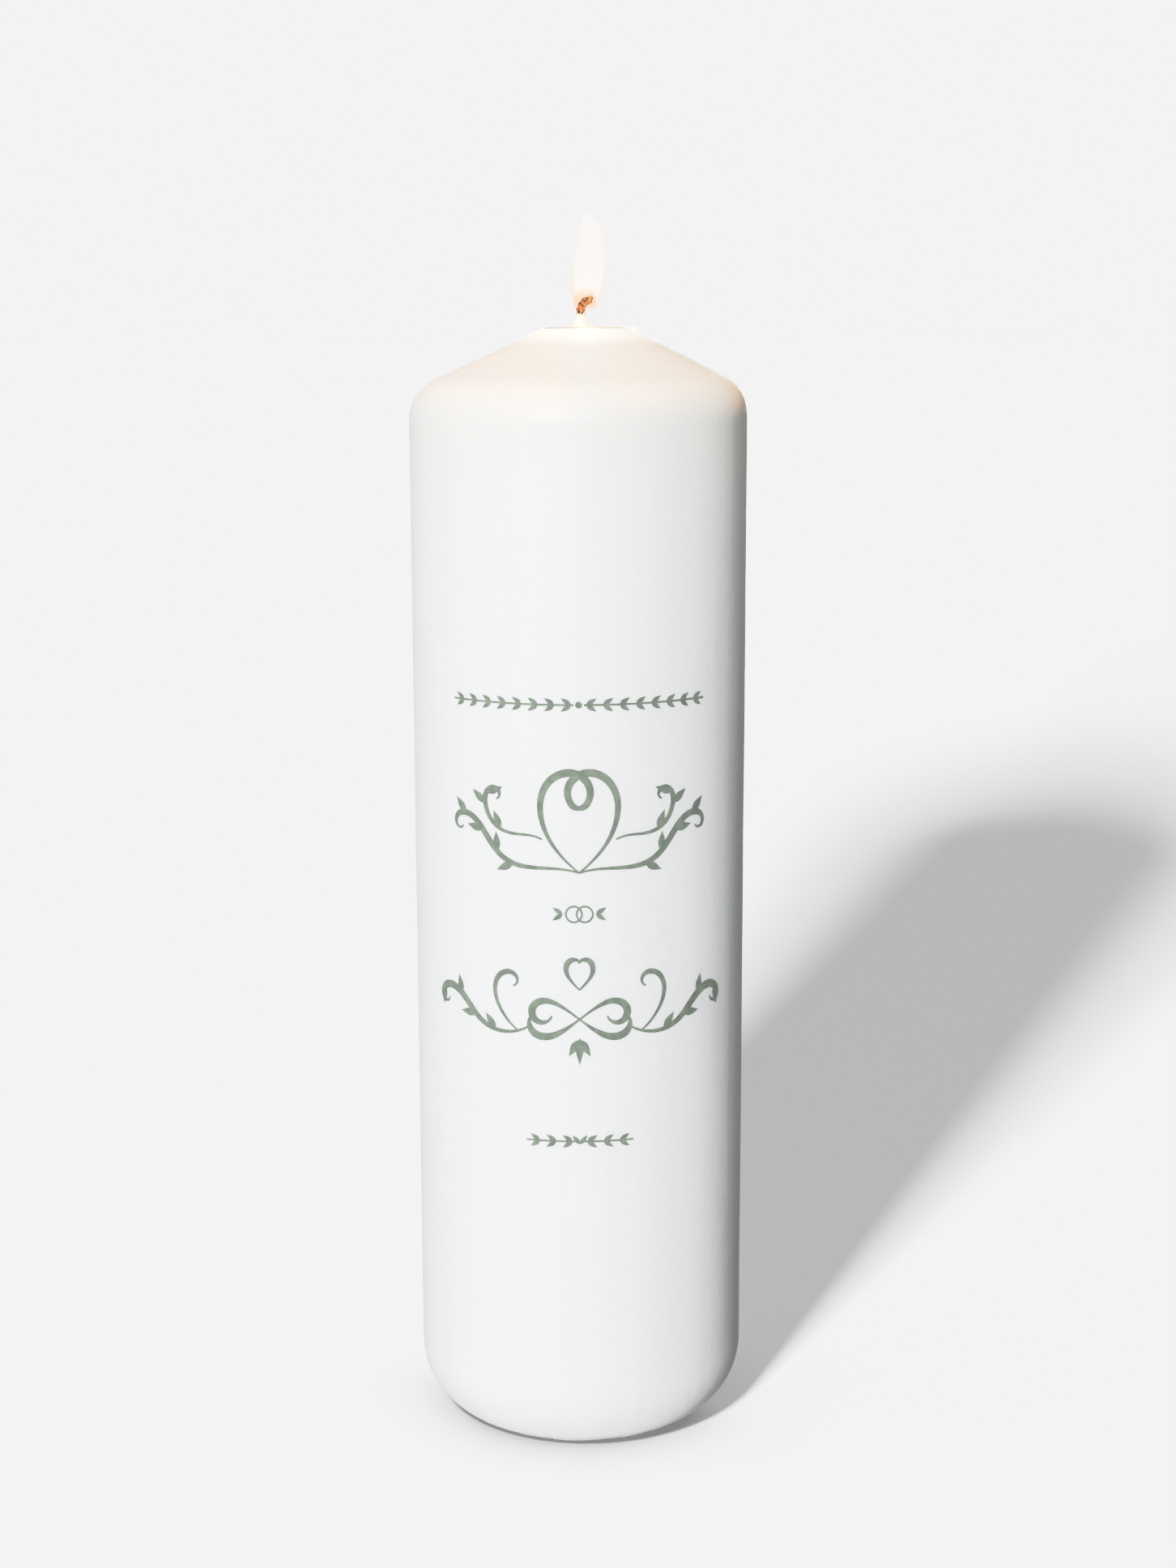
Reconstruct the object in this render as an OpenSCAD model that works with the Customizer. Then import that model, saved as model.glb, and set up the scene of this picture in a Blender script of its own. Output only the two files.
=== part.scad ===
/* [Body] */
// Outside diameter of the dipped candle
body_d = 75; // [60:1:100]
// Height of the wax, from the base to the flat top
body_h = 250; // [200:5:320]
// Slope of the trimmed cone, up from the horizontal
cone_angle = 25.5; // [15:0.5:32]
// Diameter of the flat top
top_flat_d = 18; // [16:0.5:24]
// Outside radius of the shoulder between the cone and the side
shoulder_r = 10; // [6:0.5:16]
// Radius of the rounded lower edge of the pressed core
base_round = 15; // [8:0.5:18]
// Thickness of the hard dip coat
coat_t = 1.5; // [1:0.1:2.5]

/* [Melt pool] */
// Width of the unmelted rim round the dish in the flat top
pool_rim = 1.75; // [0.8:0.05:2.4]
// Depth of the dish at its middle
pool_depth = 2.2; // [1.5:0.1:3.5]
// How far the liquid wax stands below the flat top
pool_drop = 0.5; // [0.3:0.1:1]
// Radius of the concave edge that climbs the wick
meniscus_r = 3.3; // [2:0.1:4]

/* [Wick] */
// Diameter of the waxed braid
wick_d = 2; // [1.6:0.1:3]
// Room round the braid in its channel
wick_play = 0.05; // [0.02:0.01:0.15]
// Distance of the wick from the middle of the candle, to the right
wick_shift = 0.6; // [0:0.1:1.5]
// Height of the pale waxed neck above the flat top
neck_rise = 3; // [2.6:0.1:6]
// Diameter of the charred end
char_d = 1.7; // [1.4:0.1:2.4]
// Radius of the curl in the charred end
curl_r = 2.7; // [2:0.1:3.5]
// Angle that the charred end curls through
curl_angle = 95; // [60:5:130]

/* [Wick tab] */
// Diameter of the stamped steel disc
tab_d = 20; // [14:0.5:28]
// Thickness of its sheet
tab_t = 0.4; // [0.3:0.1:0.8]
// Height of the crimped neck above the disc
tab_neck_h = 7; // [4:0.5:12]
// Room round the tab in the core
tab_play = 0.2; // [0.1:0.05:0.5]
// How far the disc is set in from the base
tab_inset = 0.3; // [0.2:0.1:1]
// Radius of the two crimp grooves round the neck
crimp_r = 0.22; // [0.1:0.01:0.25]

/* [Flame] */
// Height of the flame
flame_h = 22; // [14:0.5:35]
// Width of the flame at its widest
flame_w = 7.9; // [6.5:0.1:12]
// Clear zone between the flame and the wick
flame_gap = 0.25; // [0.1:0.05:0.5]

/* [Print] */
// Thickness of the printed film
film_t = 0.1; // [0.05:0.01:0.2]
// Drop from the top of the straight side to the middle of the top border
print_drop = 58.6; // [20:0.2:70]
// Drop from the top border to the upper flourish
upper_drop = 24.3; // [20:0.1:30]
// Drop from the upper flourish to the rings
rings_drop = 21.2; // [16:0.1:26]
// Drop from the rings to the lower flourish
lower_drop = 22; // [18:0.1:28]
// Drop from the lower flourish to the bottom border
bottom_drop = 29.1; // [16:0.1:36]
// Width of the thin strokes
hair_w = 0.42; // [0.3:0.02:0.6]
// Width of the thick strokes at their fullest
swell_w = 1.75; // [1:0.05:2.2]
// Diameter of each of the two joined rings
ring_d = 3.9; // [3:0.1:5]

/* [Hidden] */

body_r = body_d / 2;
core_r = body_r - coat_t;
top_flat_r = top_flat_d / 2;
// height of the centre that the shoulder turns about, which is where the straight side ends
shoulder_z = body_h - (body_r - shoulder_r - top_flat_r) * tan(cone_angle) - shoulder_r / cos(cone_angle);
// the core's cone runs a coat's thickness under the outer one
core_flat_r = top_flat_r - coat_t / sin(cone_angle);

channel_r = wick_d / 2 + wick_play;
tab_neck_r = channel_r + tab_t;
tab_top_z = tab_inset + tab_t;
tab_neck_z = tab_top_z + tab_neck_h;
tab_fillet = 3 * tab_t;

pool_r = top_flat_r - pool_rim;
// the dish is a cap of this ball
pool_ball_r = (pow(pool_r, 2) + pow(pool_depth, 2)) / (2 * pool_depth);
pool_z = body_h - pool_drop;
neck_z = body_h + neck_rise;
// the concave edge starts a little under the liquid's level, where the dish is this wide
meniscus_skirt = 0.3;
skirt_r = sqrt(pow(pool_ball_r, 2) - pow(pool_ball_r - pool_depth + pool_drop + meniscus_skirt, 2));
// the liquid climbs no higher than the pale neck, and its concave edge ends short of the dish's side
meniscus_gap = 0.2;
meniscus_lip_r = channel_r + 0.1;
meniscus = min(meniscus_r, neck_z - pool_z - meniscus_gap,
               skirt_r - wick_shift - meniscus_lip_r - meniscus_gap);

flame_low_z = neck_z - 0.35;
// the flame stands over the middle of the curl and leans a little after it
flame_x = wick_shift + curl_r / 2;
flame_lean = 0.5;

border_top_z = shoulder_z - print_drop;
upper_z = border_top_z - upper_drop;
rings_z = upper_z - rings_drop;
lower_z = rings_z - lower_drop;
border_bottom_z = lower_z - bottom_drop;

leaf_l = 4.4;
leaf_w = 1.75;
leaf_spread = 42;
small_leaf_l = 2.7;
small_leaf_w = 1.05;
small_leaf_step = 3.6;
small_leaf_spread = 33;
// how far each joined ring stands off the middle, as a share of its diameter
ring_share = 0.3;

white = "#f4f2ee";
print_ink = "#869283";

$fn = 96;
stroke_step = 1.25;
stroke_turn = 13;
leaf_steps = 8;
// strokes that meet are swollen by this much, so that they join
merge = 0.002;

// Half the candle's outline, to be turned about the axis: flat base, rounded lower edge, straight side,
// shoulder and cone. The same outline a coat's thickness smaller is the pressed core.
module half_outline(side_r, round_r, turn_r, flat_r) {
    intersection() {
        union() {
            square([side_r - round_r, shoulder_z]);
            translate([0, base_round]) square([side_r, shoulder_z - base_round]);
            translate([side_r - round_r, base_round]) circle(r = round_r);
            translate([side_r - turn_r, shoulder_z]) circle(r = turn_r);
            polygon([[0, shoulder_z], [side_r - turn_r, shoulder_z],
                     [side_r - turn_r + turn_r * sin(cone_angle), shoulder_z + turn_r * cos(cone_angle)],
                     [flat_r, body_h], [0, body_h]]);
        }
        square([side_r, body_h]);
    }
}

// Ball that melts the dish into the flat top
module pool_ball() {
    translate([0, 0, body_h - pool_depth + pool_ball_r]) sphere(r = pool_ball_r);
}

// Room for the wick from under the tab to above the pale neck
module wick_channel() {
    translate([wick_shift, 0, -1]) cylinder(r = channel_r, h = neck_z + 2);
}

module wax_core() {
    color("#efe7da")
    difference() {
        rotate_extrude() half_outline(core_r, base_round, shoulder_r - coat_t, core_flat_r);
        pool_ball();
        wick_channel();
        translate([wick_shift, 0, -1]) cylinder(r = tab_d / 2 + tab_play, h = tab_top_z + tab_play + 1);
        translate([wick_shift, 0, 0]) cylinder(r = tab_neck_r + tab_play, h = tab_neck_z + tab_play);
        translate([wick_shift, 0, tab_top_z + tab_play])
            cylinder(r1 = tab_neck_r + tab_fillet + tab_play, r2 = tab_neck_r + tab_play, h = tab_fillet);
    }
}

module overdip_coat() {
    color(white)
    difference() {
        rotate_extrude() difference() {
            half_outline(body_r, base_round + coat_t, shoulder_r, top_flat_r);
            half_outline(core_r, base_round, shoulder_r - coat_t, core_flat_r);
        }
        pool_ball();
    }
}

module wick() {
    color("#f3ead8")
    translate([wick_shift, 0, tab_inset]) cylinder(r = wick_d / 2, h = neck_z - tab_inset);
}

// The charred end leaves the neck upright and curls over to the right about a centre beside it. It is a
// bent rod with a round end, drawn at any radius.
module curled_rod(rod_r) {
    translate([wick_shift + curl_r, 0, neck_z]) rotate([90, 0, 0]) rotate([0, 0, 180 - curl_angle]) {
        rotate_extrude(angle = curl_angle) translate([curl_r, 0]) circle(r = rod_r);
        translate([curl_r, 0, 0]) rotate([90, 0, 0]) rotate_extrude() intersection() {
            circle(r = rod_r);
            square(rod_r);
        }
    }
}

module wick_tip() {
    color("#8a4f26") curled_rod(char_d / 2);
}

module wick_tab() {
    color("#b9bcbe")
    translate([wick_shift, 0, 0]) difference() {
        rotate_extrude() difference() {
            union() {
                translate([0, tab_inset]) square([tab_d / 2, tab_t]);
                translate([0, tab_inset]) square([tab_neck_r, tab_t + tab_neck_h]);
                difference() {
                    translate([0, tab_inset]) square([tab_neck_r + tab_fillet, tab_t + tab_fillet]);
                    translate([tab_neck_r + tab_fillet, tab_top_z + tab_fillet]) circle(r = tab_fillet);
                }
            }
            for (groove = [0.55, 0.8])
                translate([tab_neck_r, tab_top_z + groove * tab_neck_h]) circle(r = crimp_r);
        }
        cylinder(r = channel_r, h = tab_neck_z + 1);
    }
}

module melt_pool() {
    color("#f6ecd9")
    difference() {
        union() {
            intersection() {
                pool_ball();
                translate([0, 0, pool_z - pool_depth]) cylinder(r = pool_r, h = pool_depth);
            }
            translate([wick_shift, 0, pool_z]) rotate_extrude() difference() {
                translate([0, -meniscus_skirt])
                    square([meniscus_lip_r + meniscus, meniscus_skirt + meniscus]);
                translate([meniscus_lip_r + meniscus, meniscus]) circle(r = meniscus);
            }
        }
        wick_channel();
    }
}

// Half the flame's width at a share of its height: round below, straight-sided, drawn in to a point
function flame_half(share) = flame_w / 2 * pow(sin(180 * pow(share, 0.85)), 0.45);

module flame() {
    color("#fff3d2")
    difference() {
        translate([flame_x, 0, flame_low_z]) rotate([0, flame_lean, 0])
            rotate_extrude() polygon([for (k = [0 : 24]) [flame_half(k / 24), flame_h * k / 24]]);
        translate([wick_shift, 0, body_h]) cylinder(r = wick_d / 2 + flame_gap, h = neck_rise + flame_gap);
        curled_rod(char_d / 2 + flame_gap);
    }
}

// A pen stroke is a chain of spiral arcs. Each arc is [length, turn at its start, turn at its end], in
// degrees a millimetre, and a point on the stroke is [x, y, heading].
function advance(point, step, turn) =
    let (middle = point[2] + turn * step / 2)
    [point[0] + step * cos(middle), point[1] + step * sin(middle), point[2] + turn * step];

function arc_steps(arc) =
    max(ceil(arc[0] / stroke_step), ceil(abs(arc[1] + arc[2]) / 2 * arc[0] / stroke_turn));

function arc_turn(arc, share) = arc[1] + (arc[2] - arc[1]) * share;

function arc_points(start, arc) =
    let (steps = arc_steps(arc))
    [for (k = 0, point = start; k <= steps;
          point = advance(point, arc[0] / steps, arc_turn(arc, (k + 0.5) / steps)), k = k + 1) point];

function chain(start, arcs, first = 0) =
    first == len(arcs) ? [start] :
    let (points = arc_points(start, arcs[first]), last = len(points) - 1)
    concat([for (k = [0 : last - 1]) points[k]], chain(points[last], arcs, first + 1));

// Width of the pen along a stroke, from hairline to swell and back
function pen_w(share, swell) = hair_w + (swell - hair_w) * pow(sin(180 * share), 1.5);

// A distance round the side, seen square on
function wrap(around, up) = [body_r * sin(around / body_r * 180 / PI), up];

function beside(point, reach) = wrap(point[0] - reach * sin(point[2]), point[1] + reach * cos(point[2]));

module stroke(points, swell = swell_w) {
    last = len(points) - 1;
    polygon(concat(
        [for (k = [0 : last]) beside(points[k], pen_w(k / last, swell) / 2)],
        [for (k = [last : -1 : 0]) beside(points[k], -pen_w(k / last, swell) / 2)]));
}

// A leaf from its stalk, turned off the stem's heading
module leaf(stalk, turn, length = leaf_l, width = leaf_w) {
    rib = [stalk[0], stalk[1], stalk[2] + turn];
    half = [for (k = [0 : leaf_steps]) width / 2 * pow(sin(180 * pow(k / leaf_steps, 0.75)), 1.2)];
    mid = [for (k = [0 : leaf_steps]) advance(rib, length * k / leaf_steps, 0)];
    polygon(concat(
        [for (k = [0 : leaf_steps]) beside(mid[k], half[k])],
        [for (k = [leaf_steps - 1 : -1 : 1]) beside(mid[k], -half[k])]));
}

// Leaves on alternate sides of a stem, at shares of its length
module leaves(points, shares, first_side = 1) {
    for (k = [0 : len(shares) - 1]) {
        side = k % 2 == 0 ? first_side : -first_side;
        leaf(points[round(shares[k] * (len(points) - 1))], side * leaf_spread);
    }
}

module both_sides() {
    children();
    mirror([1, 0]) children();
}

// The printed film: a flat drawing pressed through onto the front of the straight side
module film(centre_z) {
    color(print_ink)
    intersection() {
        difference() {
            cylinder(r = body_r + film_t, h = body_h);
            translate([0, 0, -1]) cylinder(r = body_r, h = body_h + 2);
        }
        translate([0, 0, centre_z]) rotate([90, 0, 0])
            linear_extrude(body_r + 1) offset(delta = merge) children();
    }
}

module leafy_border(pairs) {
    both_sides() {
        for (k = [0 : pairs - 1], side = [-1, 1])
            leaf([1.6 + k * small_leaf_step, 0, 0], side * small_leaf_spread, small_leaf_l, small_leaf_w);
        stroke(chain([1.1, 0, 0], [[pairs * small_leaf_step, 0, 0]]), hair_w);
    }
}

module border_top() {
    film(border_top_z) {
        leafy_border(8);
        dot(0, 0.75, 16);
    }
}

module flourish_upper() {
    stem = chain([0, -12.1, 20], [[8, -5, 0], [9, 0, 7], [8, 7, -2], [7, -2, -16], [6.4, -16, -56]]);
    tendril = chain([8, -4.9, 30], [[5, -12, 0], [6, 2, 10], [5, 10, 6], [5.6, 6, 34], [3.4, 34, 60]]);
    film(upper_z) both_sides() {
        stroke(chain([0, -12.1, 40], [[16, 1, 4.6], [11, 4.6, 10.8], [9.6, 10.8, 15], [7.6, 15, 38]]));
        stroke(stem, 0.85 * swell_w);
        leaves(stem, [0.28, 0.38, 0.48, 0.58], -1);
        stroke(tendril, 0.7 * swell_w);
        leaves(tendril, [0.24, 0.4, 0.52]);
    }
}

// A filled dot, its centre this far round from the middle of the front
module dot(around, radius, sides = 32) {
    polygon([for (k = [0 : sides - 1], turn = k * 360 / sides)
        wrap(around + radius * cos(turn), radius * sin(turn))]);
}

module rings_mark() {
    film(rings_z) both_sides() {
        difference() {
            dot(ring_share * ring_d, ring_d / 2);
            dot(ring_share * ring_d, ring_d / 2 - hair_w);
        }
        for (side = [-1, 1])
            leaf([3.6, 0, 0], side * small_leaf_spread, small_leaf_l, small_leaf_w);
    }
}

module flourish_lower() {
    stem = chain([10.6, -2.9, -38], [[5.4, 6, 5], [7.4, 5, 6], [8, 6, -5], [6.4, -5, -19], [6, -19, -58]]);
    tendril = chain([13.4, -4.7, 30], [[4, 6, 4], [7, 2, 9], [6, 9, 20], [5, 20, 50]]);
    film(lower_z) {
        both_sides() {
            stroke(chain([0, -1.4, 38], [[5, 0, -3], [7, -3, -24], [7.6, -24, -26]]));
            stroke(chain([0, -1.4, -38], [[5, 0, 3], [6, 3, 18], [5, 18, 22]]));
            stroke(stem);
            leaves(stem, [0.2, 0.32, 0.44, 0.56]);
            stroke(tendril, 0.7 * swell_w);
            stroke(chain([0, 5.2, 45], [[3.3, 0, 7], [3.3, 7, 27], [3.8, 27, 44]]), 0.75 * swell_w);
            leaf([0.2, -6, -60], 0);
        }
        leaf([0, -5.6, -90], 0, 1.4 * leaf_l);
    }
}

module border_bottom() {
    film(border_bottom_z) {
        leafy_border(3);
        both_sides() leaf([0, -0.6, 0], 52, small_leaf_l, small_leaf_w);
    }
}

wax_core();
overdip_coat();
wick();
wick_tip();
wick_tab();
melt_pool();
border_top();
flourish_upper();
rings_mark();
flourish_lower();
border_bottom();
flame();
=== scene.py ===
import math

import bpy
import numpy as np
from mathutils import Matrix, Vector


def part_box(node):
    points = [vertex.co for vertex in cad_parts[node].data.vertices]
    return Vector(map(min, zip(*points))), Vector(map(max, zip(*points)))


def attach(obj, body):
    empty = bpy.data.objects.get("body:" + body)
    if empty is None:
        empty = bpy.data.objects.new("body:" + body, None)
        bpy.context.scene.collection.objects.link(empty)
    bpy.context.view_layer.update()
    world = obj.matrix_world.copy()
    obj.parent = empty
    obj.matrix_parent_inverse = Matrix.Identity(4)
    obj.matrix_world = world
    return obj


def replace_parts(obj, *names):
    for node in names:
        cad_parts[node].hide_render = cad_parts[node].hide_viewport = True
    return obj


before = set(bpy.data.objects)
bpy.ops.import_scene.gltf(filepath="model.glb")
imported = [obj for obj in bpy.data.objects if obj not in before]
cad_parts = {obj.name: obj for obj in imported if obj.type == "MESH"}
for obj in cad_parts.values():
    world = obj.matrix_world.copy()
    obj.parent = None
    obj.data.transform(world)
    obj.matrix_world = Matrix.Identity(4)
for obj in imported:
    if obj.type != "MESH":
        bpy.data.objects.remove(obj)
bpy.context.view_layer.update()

# A white pillar candle, lit, with a printed front. Lengths are in metres.
MM = 0.001

# ---- sizes taken from the solids of the shared frame ----
COAT_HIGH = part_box("overdip_coat")[1]
CORE_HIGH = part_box("wax_core")[1]
WICK_LOW, WICK_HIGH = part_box("wick")
POOL_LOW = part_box("melt_pool")[0]
FLAME_LOW, FLAME_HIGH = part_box("flame")
TAB_LOW, TAB_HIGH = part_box("wick_tab")
BODY_R = COAT_HIGH.x
BODY_H = COAT_HIGH.z
COAT_T = COAT_HIGH.x - CORE_HIGH.x
WICK_X = (WICK_LOW.x + WICK_HIGH.x) / 2
WICK_R = (WICK_HIGH.x - WICK_LOW.x) / 2
NECK_Z = WICK_HIGH.z

# ---- sizes of the turned outline ----
SHOULDER_R = 10 * MM
CONE_SLOPE = math.radians(25.5)
TOP_FLAT_R = 9 * MM
CORE_ROUND = 15 * MM
COAT_ROUND = CORE_ROUND + COAT_T
SHOULDER_Z = BODY_H - (BODY_R - SHOULDER_R - TOP_FLAT_R) * math.tan(CONE_SLOPE) - SHOULDER_R / math.cos(CONE_SLOPE)
RIM_WIDTH = 1.75 * MM
POOL_R = TOP_FLAT_R - RIM_WIDTH
POOL_DEPTH = BODY_H - POOL_LOW.z
POOL_BALL_R = (POOL_R ** 2 + POOL_DEPTH ** 2) / (2 * POOL_DEPTH)
POOL_LEVEL = BODY_H - 0.5 * MM
WICK_PLAY = 0.05 * MM
CHANNEL_R = WICK_R + WICK_PLAY
TAB_SHEET = 0.4 * MM
TAB_PLAY = 0.2 * MM
CURL_LENGTH = 4.15 * MM
CURL_TURN = math.radians(96)
CHAR_R = 0.85 * MM
# the knife left the cone leaning to the right by this much at the flat top
TOP_LEAN = 1.85 * MM
COAT_SIDES = 384
# the middle of the egg of thin gas round the charred end
GAP_X = WICK_X + 1.0 * MM
GAP_Z = NECK_Z + 2.75 * MM

# ---- studio ----
FLOOR_TONE = 0.35
FLOOR_GLOW = 0.26
# the floor's painted contact shadow: it is dimmed outside this radius by SHADE exp(-distance / SHADE_REACH), and
# less behind the candle
SHADE_FROM = 28 * MM
SHADE_REACH = 7.4 * MM
SHADE = 0.81
SHADE_LEAST = 0.4
SHADE_EASED = 0.55
SHADOW_X = 0.34
SHADOW_Y = 0.94
FLOOR_KEY = 0.90
FLOOR_KEY_SIZE = 0.033
FLOOR_KEY_PLACE = (-0.149, -0.406, 0.376)
CANDLE_KEY = 3.7
CANDLE_KEY_TURN = math.radians(-20)
CANDLE_KEY_RISE = math.radians(24)
BACK_FILL = 0.95
BACK_FILL_FROM = (0.05, 1.0, 0.0)
KICKER = 0.03
KICKER_PLACE = (0.150, -0.060, 0.265)
FLAME_LIGHT = 0.008
SKY = 0.165
SKY_DARK_SIDE = (0.97, -0.2, 0.0)
BOUNCE = 1.0
BACKDROP = 1.12
LENS = 56.0
CAMERA_PLACE = (2.2 * MM, -547.3 * MM, 251 * MM)
CAMERA_TURN = (math.radians(90 - 10.718), math.radians(0.144), 0)

TAU = 2 * math.pi
BLACK = (0.0, 0.0, 0.0, 1.0)
WHITE = (1.0, 1.0, 1.0, 1.0)
# the studio's tone curve: scene light, and the share of white that it is shown as
TONE_WHITE = 1.6
TONE = ((0.14, 0.23), (0.23, 0.345), (0.38, 0.55), (0.58, 0.715), (0.80, 0.80), (1.0, 0.865), (1.2, 0.915))


# ================= grids =================

def line(start, end, count):
    """Points from start to end in equal steps, both ends included: start + t (end - start), t from 0 to 1."""
    t = np.linspace(0, 1, count)[:, None]
    return np.array(start) * (1 - t) + np.array(end) * t


def arc(centre, radius, first, last, count):
    """Points of a circle in the (radius, height) plane: centre + radius (cos a, sin a), a from first to last."""
    a = np.linspace(first, last, count)
    return np.array(centre) + radius * np.stack([np.cos(a), np.sin(a)], axis=1)


def outline(*stretches):
    """Joins stretches of (radius, height) points into one profile and drops the points that repeat."""
    points = np.concatenate(stretches)
    gaps = np.linalg.norm(np.diff(points, axis=0), axis=1)
    return points[np.concatenate([[True], gaps > 1e-7])]


def revolve(profile, sides, centre_x=0.0):
    """Turns a profile about an upright axis: point (i, j) is (c_i + r_i cos a_j, r_i sin a_j, z_i), where a_j runs
    once round in equal steps and c_i is the axis's own place in X at that point of the profile."""
    a = np.arange(sides) * TAU / sides
    r, z = profile[:, 0][:, None], profile[:, 1][:, None]
    c = np.broadcast_to(np.asarray(centre_x, float), profile[:, 0].shape)[:, None]
    return np.stack([c + r * np.cos(a), r * np.sin(a), z + 0 * a], axis=2)


def tube(path, radius, sides, across):
    """Sweeps a circle along a path: point (i, j) is p_i + r_ij (cos a_j n_i + sin a_j b_i). t is the path's
    direction by differences, b is the fixed direction across made square to t, and n is b x t."""
    t = np.gradient(path, axis=0)
    t /= np.linalg.norm(t, axis=1)[:, None]
    b = np.array(across, float) - t * (t @ np.array(across, float))[:, None]
    b /= np.linalg.norm(b, axis=1)[:, None]
    n = np.cross(b, t)
    a = (np.arange(sides) * TAU / sides)[None, :, None]
    r = np.broadcast_to(radius, (len(path), sides))[..., None]
    return path[:, None] + r * (np.cos(a) * n[:, None] + np.sin(a) * b[:, None])


def faces_of(rows, sides, first, closed, caps):
    """Quads between neighbouring rows of a grid whose rows close on themselves. A closed grid also joins its last
    row to its first. Caps join the end rows to one pole vertex each, numbered after the grid's own."""
    i = np.arange(rows if closed else rows - 1)[:, None]
    j = np.arange(sides)[None]
    k = (j + 1) % sides
    m = (i + 1) % rows
    quads = np.stack([i * sides + j + 0 * k, i * sides + k + 0 * j, m * sides + k, m * sides + j], axis=2)
    faces = (quads.reshape(-1, 4) + first).tolist()
    if caps:
        j = np.arange(sides)
        k = (j + 1) % sides
        low, high = first + rows * sides, first + rows * sides + 1
        top = first + (rows - 1) * sides
        faces += np.stack([np.full(sides, low), first + k, first + j], axis=1).tolist()
        faces += np.stack([np.full(sides, high), top + j, top + k], axis=1).tolist()
    return faces


def skin(name, grids, material, closed=False, caps=False):
    """One mesh object from one or more grids of points, each rows x sides x 3, welded round its own seam."""
    points, faces, first = [], [], 0
    for grid in grids:
        rows, sides = grid.shape[:2]
        points.append(grid.reshape(-1, 3))
        faces += faces_of(rows, sides, first, closed, caps)
        if caps:
            points.append(np.stack([grid[0].mean(axis=0), grid[-1].mean(axis=0)]))
        first += rows * sides + (2 if caps else 0)
    mesh = bpy.data.meshes.new(name)
    mesh.from_pydata(np.concatenate(points).tolist(), [], faces)
    mesh.polygons.foreach_set("use_smooth", np.ones(len(mesh.polygons), bool))
    mesh.update()
    piece = bpy.data.objects.new(name, mesh)
    bpy.context.scene.collection.objects.link(piece)
    mesh.materials.append(material)
    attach(piece, "root")
    return piece


def smooth(low, high, value):
    """0 below low, 1 above high and 3t^2 - 2t^3 between."""
    t = np.clip((value - low) / (high - low), 0, 1)
    return t * t * (3 - 2 * t)


def lean(points):
    """Moves the cone and what is in it to the right: dx rises smoothly from 0 at the shoulder's centre height to
    TOP_LEAN at the flat top."""
    moved = points.copy()
    moved[..., 0] += TOP_LEAN * smooth(SHOULDER_Z, BODY_H, points[..., 2])
    return moved


def outward(points):
    """The level direction away from the candle's axis, for each point."""
    level = points * np.array([1.0, 1.0, 0.0])
    return level / np.maximum(np.linalg.norm(level, axis=-1, keepdims=True), 1e-9)


def heading(points):
    """The angle round the candle of each point, counted from +X."""
    return np.arctan2(points[..., 1], points[..., 0])


# ================= shader maths =================

class Value:
    """A number in a material's graph. Arithmetic on it adds Math nodes."""

    def __init__(self, material, socket):
        self.material = material
        self.socket = socket

    def math(self, operation, *others):
        return self.material.add("ShaderNodeMath", {"operation": operation}, {
            k: v for k, v in enumerate((self,) + others)})

    def __add__(self, other): return self.math("ADD", other)
    def __radd__(self, other): return self.math("ADD", other)
    def __sub__(self, other): return self.math("SUBTRACT", other)
    def __rsub__(self, other): return (self * -1) + other
    def __mul__(self, other): return self.math("MULTIPLY", other)
    def __rmul__(self, other): return self.math("MULTIPLY", other)
    def __truediv__(self, other): return self.math("DIVIDE", other)
    def __pow__(self, other): return self.math("POWER", other)

    def top(self, other): return self.math("MAXIMUM", other)
    def low(self, other): return self.math("MINIMUM", other)
    def sine(self): return self.math("SINE")
    def size(self): return self.math("ABSOLUTE")

    def rise(self, start, end):
        """0 before start, 1 after end, smooth between. Start may be the larger, and then it falls."""
        return self.material.add("ShaderNodeMapRange", {"interpolation_type": "SMOOTHSTEP"}, {
            "Value": self, "From Min": start, "From Max": end, "To Min": 0.0, "To Max": 1.0})


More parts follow.
